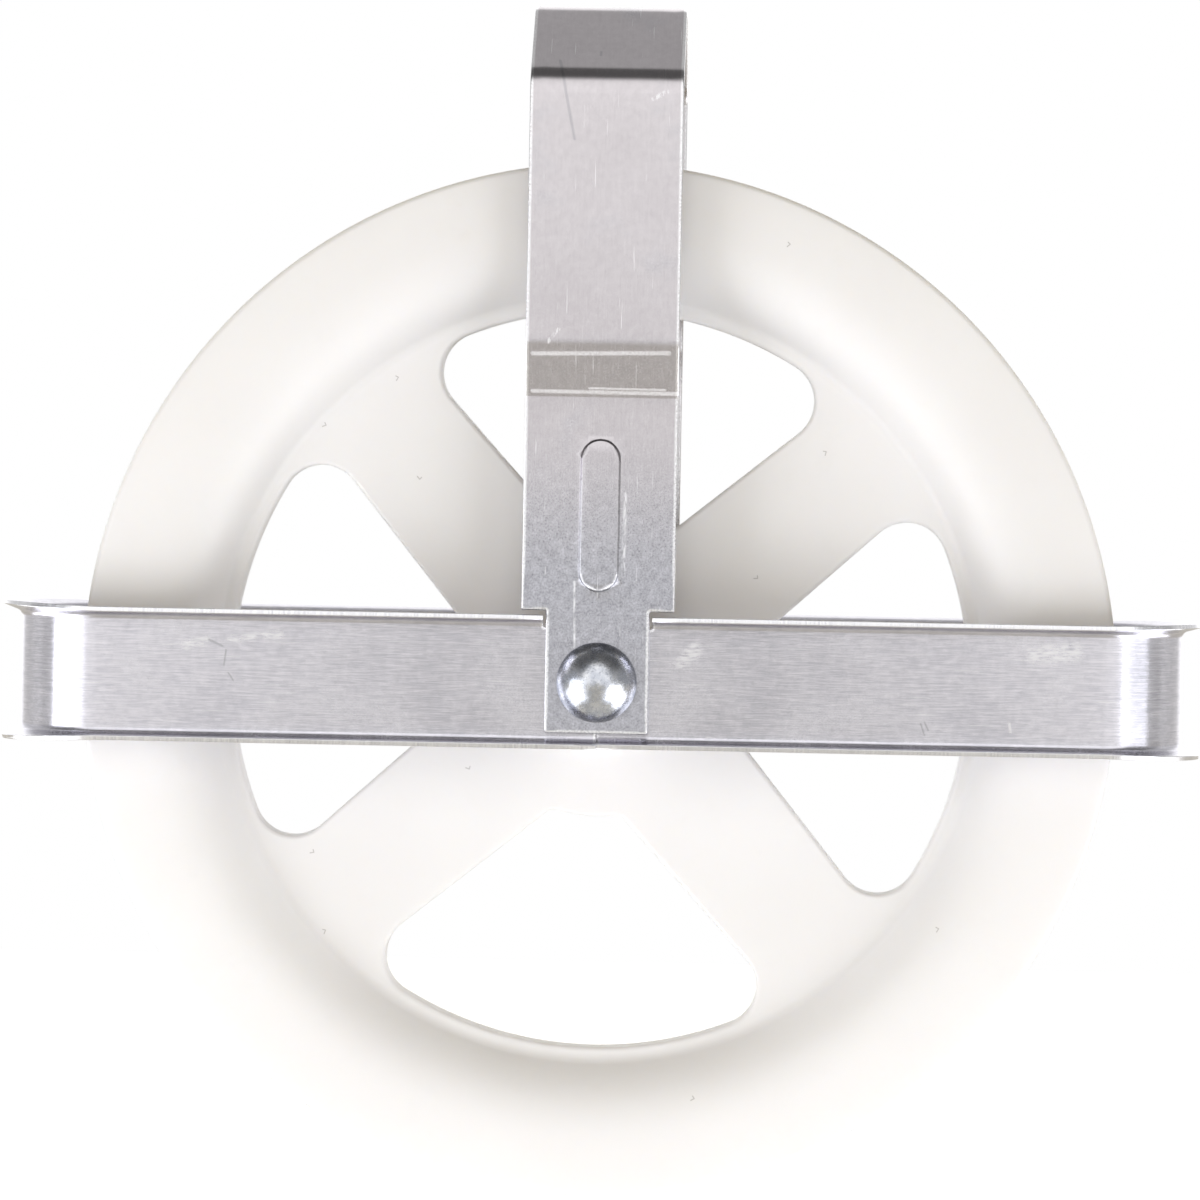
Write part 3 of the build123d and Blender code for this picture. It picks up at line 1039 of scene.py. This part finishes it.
def seen_directly(g):
    """Outputs that are 1 for rays from the camera, and 1 for what metal and glass show."""
    path = g.add("ShaderNodeLightPath")
    shown = g.math("MAXIMUM", path.outputs["Is Glossy Ray"], path.outputs["Is Transmission Ray"])
    return path.outputs["Is Camera Ray"], shown


def make_floor():
    bpy.ops.mesh.primitive_plane_add(size=FLOOR_SIZE, location=(0, 0, FLOOR_HEIGHT))
    floor = bpy.context.object
    floor.name = "floor"
    material = bpy.data.materials.new("floor_paper")
    material.use_nodes = True
    g = Graph(material.node_tree)
    camera, shown = seen_directly(g)
    diffuse = g.add("ShaderNodeBsdfDiffuse")
    diffuse.inputs[0].default_value = (FLOOR_WHITE, FLOOR_WHITE, FLOOR_WHITE, 1)
    glow = g.add("ShaderNodeEmission")
    g.feed(glow.inputs["Strength"], g.sum(((camera, 1.0), (shown, FLOOR_IN_METAL))))
    both = g.add("ShaderNodeAddShader")
    g.feed(both.inputs[0], diffuse.outputs[0])
    g.feed(both.inputs[1], glow.outputs[0])
    g.feed(g.add("ShaderNodeOutputMaterial").inputs[0], both.outputs[0])
    floor.data.materials.append(material)


def make_light():
    world = bpy.data.worlds.new("studio")
    bpy.context.scene.world = world
    world.use_nodes = True
    g = Graph(world.node_tree)
    camera, shown = seen_directly(g)
    direction = g.add("ShaderNodeTexCoord").outputs["Generated"]
    parts = g.add("ShaderNodeSeparateXYZ")
    g.feed(parts.inputs[0], direction)
    across, depth, height = parts.outputs
    front = g.remap(height, 0.3, 0.62, WORLD_BESIDE, WORLD_ABOVE)
    paper = g.remap(depth, 0.5, 0.9, WORLD_BEHIND, 1.0)
    behind = g.remap(height, 0.3, 0.8, paper, WORLD_CEILING)
    room = g.remap(depth, -0.08, 0.1, front, behind)
    past_card = g.vector("LENGTH", g.vector("MULTIPLY", direction, (1.65, 0, 1.35)))
    studio = g.remap(past_card, 0.9, 1.15, WORLD_CARD, room)
    beside_stand = g.math("ABSOLUTE", g.math("ADD", across, 0.025))
    past_stand = g.math("MAXIMUM", g.remap(beside_stand, 0.02, 0.1), g.remap(height, -0.01, 0.07))
    studio = g.math("MULTIPLY", studio, g.remap(past_stand, 0, 1, WORLD_STAND, 1.0))
    light = g.mix(shown, WORLD_DIFFUSE, studio)
    light = g.mix(camera, light, (1.0, 1.0, 1.0))
    background = g.add("ShaderNodeBackground")
    g.feed(background.inputs["Color"], light)
    g.feed(g.add("ShaderNodeOutputWorld").inputs[0], background.outputs[0])
    for name, azimuth, elevation, size, power, shows in LAMPS:
        lamp(name, radians(azimuth), radians(elevation), size, power, shows)


make_camera()
make_floor()
make_light()
make_wheel(plastic())
right_metal = aluminium(
    "guard_aluminium_right",
    *GUARD_SHADES,
    grain=0.55,
    grit=1.0,
    mottle=patches,
    marks=(((59.0, -5.6), (59.6, -7.4), 0.2), ((59.6, -5.4), (60.2, -6.6), 0.2)),
    rubs=(
        ((21.0, 3.4), (23.0, 5.4), 1.6),
        ((77.0, 5.8), (83.0, 6.2), 2.2),
        ((73.0, -5.2), (73.2, -6.6), 0.35),
    ),
)
left_metal = aluminium(
    "guard_aluminium_left",
    *GUARD_SHADES,
    grain=0.55,
    grit=1.0,
    mottle=patches,
    marks=(
        ((69.4, 5.6), (67.2, 4.6), 0.25),
        ((66.6, 4.0), (66.9, 1.6), 0.2),
        ((66.2, 0.4), (65.4, -0.8), 0.2),
    ),
    rubs=(((70.0, 5.6), (73.0, 4.6), 1.1), ((58.0, 6.6), (66.0, 5.8), 0.9)),
)
right_shape = (RIGHT_WEB_INNER, RIGHT_GUARD_HEIGHT, RIGHT_END_SPLAY)
left_shape = (LEFT_WEB_INNER, LEFT_GUARD_HEIGHT, LEFT_END_SPLAY)
make_guard("right_line_guard", "right_guard", 1, *right_shape, right_metal)
make_guard("left_line_guard", "left_guard", -1, *left_shape, left_metal)
hanger_metal = aluminium(
    "hanger_aluminium_mill",
    *HANGER_SHADES,
    grain=0.2,
    grit=2.4,
    mottle=pressed_zones,
    marks=(((94.0, -5.0), (107.0, -7.6), 0.35), ((108.5, -1.2), (109.5, -1.2), 0.3)),
    rubs=(
        ((100.5, 7.4), (101.6, 9.4), 0.5),
        ((62.0, -8.6), (64.0, -7.0), 0.4),
        ((12.0, -3.6), (24.0, -3.8), 0.25),
        # A painted highlight: a bright halo beside the bead, where its edge catches the light
        ((25.0, 3.9), (38.0, 4.0), 0.4),
    ),
    # Painted highlights: bright lines along the two jog bends and round the bead's lower end, where they
    # catch the light
    creases=(
        ((54.2, -11.0), (54.1, 12.0), 0.45),
        ((54.8, -2.0), (54.7, 10.0), 0.25),
        ((60.2, -11.0), (60.6, 10.5), 0.5),
        ((40.0, -3.0), (25.6, -3.0), 0.2),
        ((25.6, -3.0), (23.5, -2.2), 0.25),
        ((23.5, -2.2), (22.55, 0.0), 0.3),
        ((22.55, 0.0), (23.5, 2.2), 0.3),
        ((23.5, 2.2), (25.6, 3.0), 0.25),
        ((25.6, 3.0), (43.0, 3.0), 0.2),
    ),
)
make_hanger(hanger_metal)
make_rivet(rivet_plate())
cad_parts["axle_sleeve"].material_slots[0].material = sleeve_steel()

bpy.context.scene.view_settings.view_transform = "Standard"
